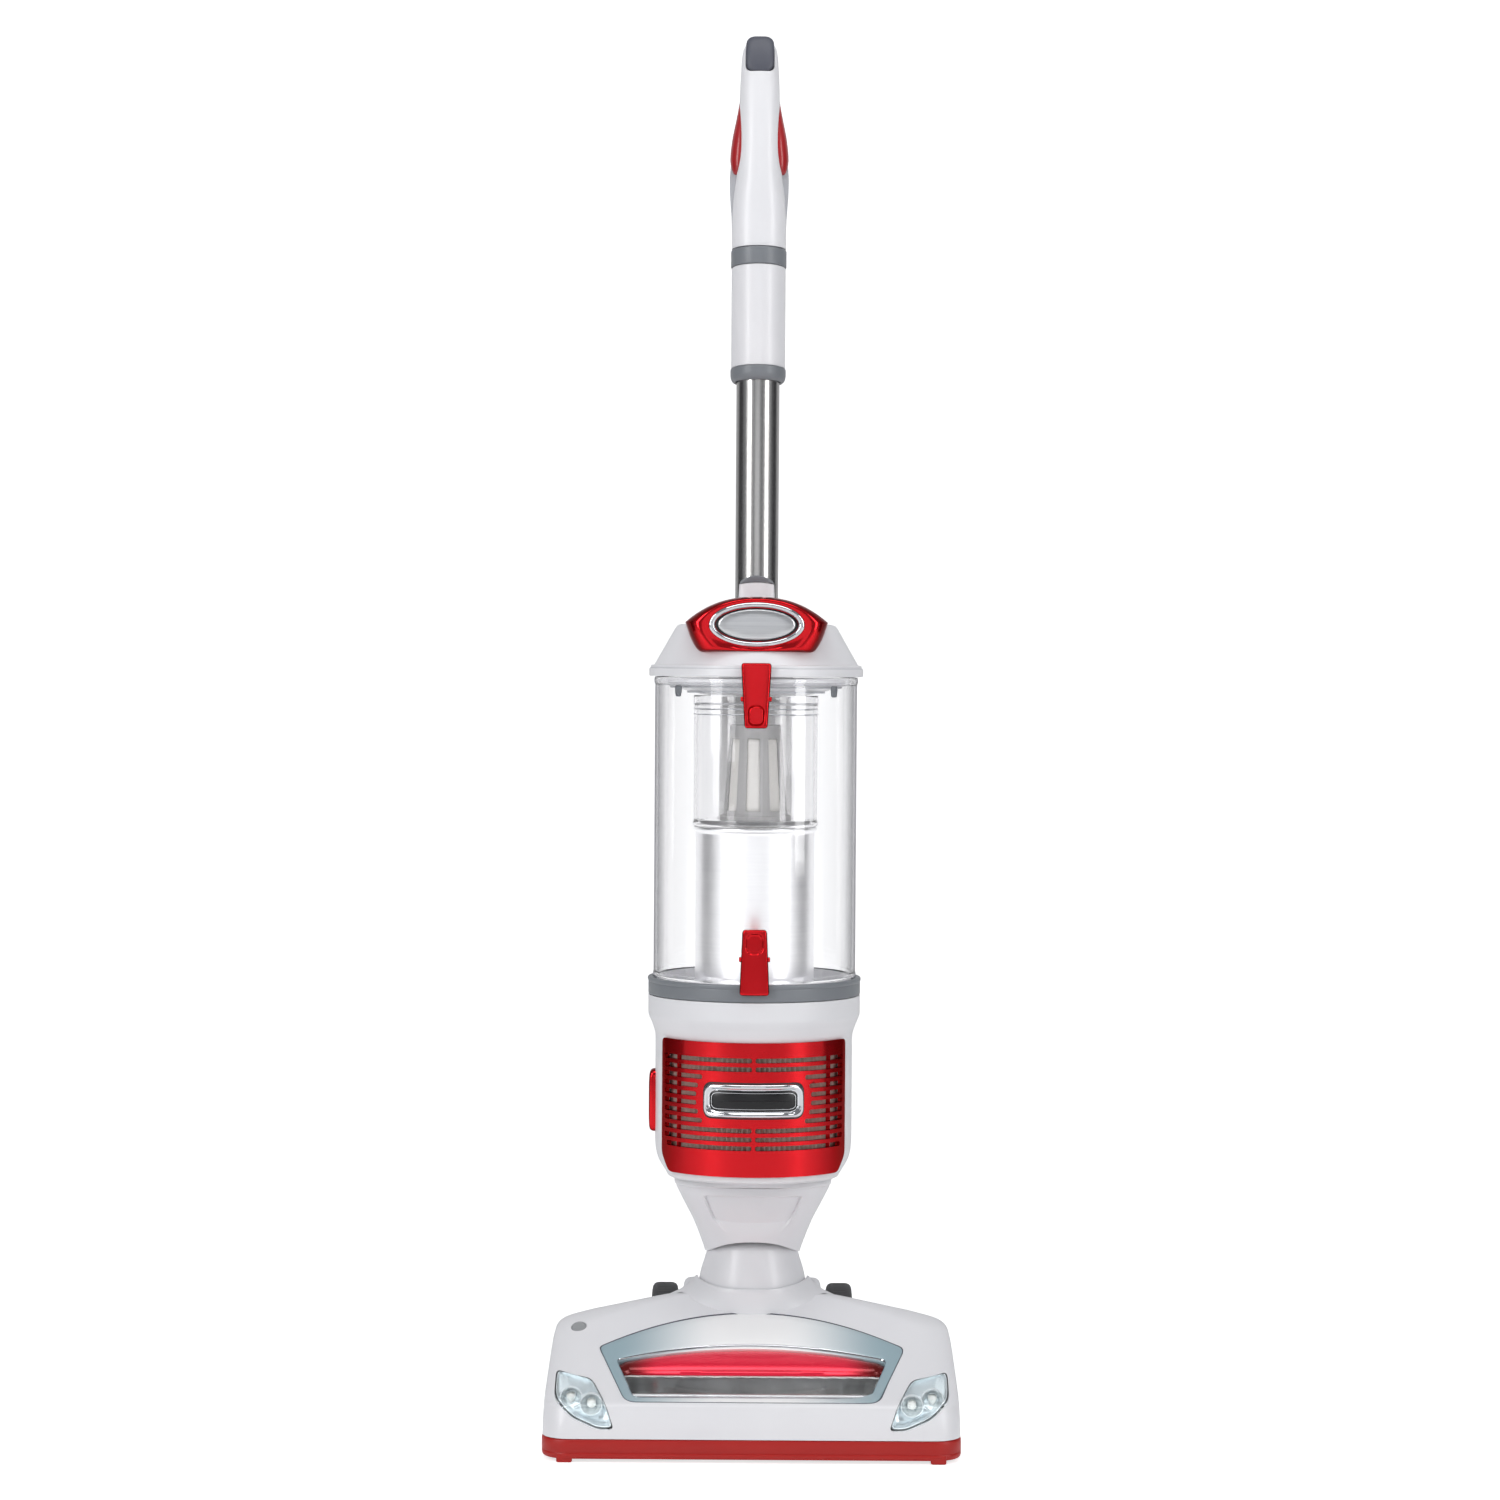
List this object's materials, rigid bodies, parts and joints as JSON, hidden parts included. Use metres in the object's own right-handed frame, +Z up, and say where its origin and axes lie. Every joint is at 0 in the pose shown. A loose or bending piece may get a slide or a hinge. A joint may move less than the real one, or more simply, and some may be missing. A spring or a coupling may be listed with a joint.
{
  "type": "upright vacuum cleaner",
  "caption": "Upright vacuum with a wide floor nozzle, swivel neck, lift-away canister with a clear dust cup, metal wand and curved handle.",
  "frame": {"origin": "middle of the footprint box, on the floor", "axes": "+Z up, +X to the right of someone facing the machine, front towards -Y"},
  "size_m": [0.33, 0.3, 1.1565],
  "materials": {
    "gloss_white": "gloss white moulded plastic",
    "candy_red": "metallic candy red, mirror gloss",
    "flat_red": "satin red plastic",
    "slate_grey": "slate grey plastic",
    "ring_grey": "mid grey plastic",
    "pale_grey": "pale grey plastic",
    "silver_blue": "pearl silver-blue paint",
    "chrome_trim": "chrome-plated plastic",
    "wand_metal": "brushed tube",
    "satin_silver": "satin silver plated plastic",
    "clear_plastic": "clear moulded plastic",
    "dark_plastic": "black plastic",
    "rubber_black": "black rubber",
    "bristle": "dense dark bristle",
    "pleat_paper": "pleated filter paper",
    "foam_blue": "open-cell foam",
    "motor_metal": "motor can",
    "pin_steel": "plain steel"
  },
  "bodies": {
    "nozzle": {"nozzle_cover": "gloss_white", "nozzle_sole": "dark_plastic", "front_bumper": "flat_red", "window_bezel": "silver_blue", "window_red_band": "candy_red", "brush_window": "clear_plastic", "left_headlight_lens": "clear_plastic", "right_headlight_lens": "clear_plastic", "left_headlight_bowl": "chrome_trim", "right_headlight_bowl": "chrome_trim", "brush_indicator": "slate_grey", "brush_motor": "motor_metal", "drive_belt": "rubber_black", "wheel_axle": "pin_steel"},
    "brushroll": {"brushroll_core": "dark_plastic", "bristle_strip_a": "bristle", "bristle_strip_b": "bristle"},
    "belt_pulley": {"motor_pulley": "pin_steel"},
    "left_wheel": {"left_rear_wheel": "slate_grey"},
    "right_wheel": {"right_rear_wheel": "slate_grey"},
    "neck": {"neck_knuckle": "gloss_white", "swivel_seal": "rubber_black"},
    "upright": {"neck_funnel": "gloss_white", "upright_spine": "gloss_white"},
    "cord_hook": {"upper_cord_hook": "gloss_white"},
    "wand_latch": {"wand_latch_button": "ring_grey"},
    "wand": {"wand_tube": "wand_metal", "lower_wand_ring": "ring_grey", "wand_sleeve": "gloss_white", "upper_wand_ring": "ring_grey", "handle_front": "gloss_white", "handle_back": "pale_grey", "left_grip_insert": "flat_red", "right_grip_insert": "flat_red", "handle_hose_port": "ring_grey"},
    "handle_release": {"handle_release_pad": "slate_grey"},
    "canister": {"motor_housing": "gloss_white", "exhaust_grille": "candy_red", "hepa_filter": "pleat_paper", "badge_frame": "chrome_trim", "badge_plate": "dark_plastic", "vacuum_motor": "motor_metal", "foam_filter": "foam_blue", "cup_collar": "ring_grey", "cup_floor_door": "clear_plastic", "dust_cup": "clear_plastic", "inner_column": "satin_silver", "cyclone_cylinder": "clear_plastic", "filter_cone": "pale_grey", "cup_lid": "gloss_white", "lid_crown": "candy_red", "crown_oval_frame": "chrome_trim", "crown_oval_disc": "satin_silver", "hose_inlet": "ring_grey", "cord_gland": "dark_plastic"},
    "fan": {"suction_fan": "pin_steel"},
    "lift_button": {"lift_away_button": "candy_red"},
    "switch": {"power_switch": "flat_red"},
    "upper_latch": {"top_latch": "candy_red"},
    "lower_latch": {"bottom_latch": "candy_red"}
  },
  "joints": [
    {"name": "recline", "type": "hinge", "parent": "nozzle", "child": "neck", "pos_m": [0, 0.035, 0.085], "axis": [-1, 0, 0], "range_deg": [0, 70]},
    {"name": "steer", "type": "hinge", "parent": "neck", "child": "upright", "pos_m": [0, 0.012, 0.146], "axis": [0, 0, 1], "range_deg": [-40, 40]},
    {"name": "lift_away", "type": "slide", "parent": "upright", "child": "canister", "axis": [0, -0.6, 0.8], "range_m": [0, 0.2]},
    {"name": "wand_lift", "type": "slide", "parent": "upright", "child": "wand", "axis": [0, 0, 1], "range_m": [0, 0.045]},
    {"name": "wand_latch_press", "type": "slide", "parent": "upright", "child": "wand_latch", "axis": [0, 1, 0], "range_m": [0, 0.0015], "stiffness_N_per_m": 400},
    {"name": "handle_release_press", "type": "slide", "parent": "wand", "child": "handle_release", "axis": [0, 1, 0], "range_m": [0, 0.0025], "stiffness_N_per_m": 400},
    {"name": "hook_turn", "type": "hinge", "parent": "upright", "child": "cord_hook", "pos_m": [0, 0.1303, 0.575], "axis": [0, 1, 0], "range_deg": [0, 180]},
    {"name": "top_latch_rock", "type": "hinge", "parent": "canister", "child": "upper_latch", "pos_m": [0, -0.0873, 0.597], "axis": [1, 0, 0], "range_deg": [0, 6], "stiffness_Nm_per_rad": 0.4},
    {"name": "bottom_latch_rock", "type": "hinge", "parent": "canister", "child": "lower_latch", "pos_m": [0, -0.0865, 0.3892], "axis": [-1, 0, 0], "range_deg": [0, 6], "stiffness_Nm_per_rad": 0.4},
    {"name": "lift_button_press", "type": "slide", "parent": "canister", "child": "lift_button", "axis": [1, 0, 0], "range_m": [0, 0.003], "stiffness_N_per_m": 400},
    {"name": "power_rock", "type": "hinge", "parent": "canister", "child": "switch", "pos_m": [0.06348, 0.04445, 0.27], "axis": [-0.5736, 0.8192, 0], "range_deg": [-6, 6]},
    {"name": "fan_spin", "type": "hinge", "parent": "canister", "child": "fan", "pos_m": [0, 0, 0.29], "axis": [0, 0, 1], "continuous": true},
    {"name": "brush_spin", "type": "hinge", "parent": "nozzle", "child": "brushroll", "pos_m": [0, -0.11, 0.026], "axis": [1, 0, 0], "continuous": true},
    {"name": "pulley_spin", "type": "hinge", "parent": "nozzle", "child": "belt_pulley", "pos_m": [0, -0.045, 0.0323], "axis": [1, 0, 0], "continuous": true},
    {"name": "left_wheel_spin", "type": "hinge", "parent": "nozzle", "child": "left_wheel", "pos_m": [0, 0.095, 0.05], "axis": [1, 0, 0], "continuous": true},
    {"name": "right_wheel_spin", "type": "hinge", "parent": "nozzle", "child": "right_wheel", "pos_m": [0, 0.095, 0.05], "axis": [1, 0, 0], "continuous": true}
  ],
  "couplings": [
    {"joint": "pulley_spin", "follows": "brush_spin", "ratio": 2.1429}
  ]
}
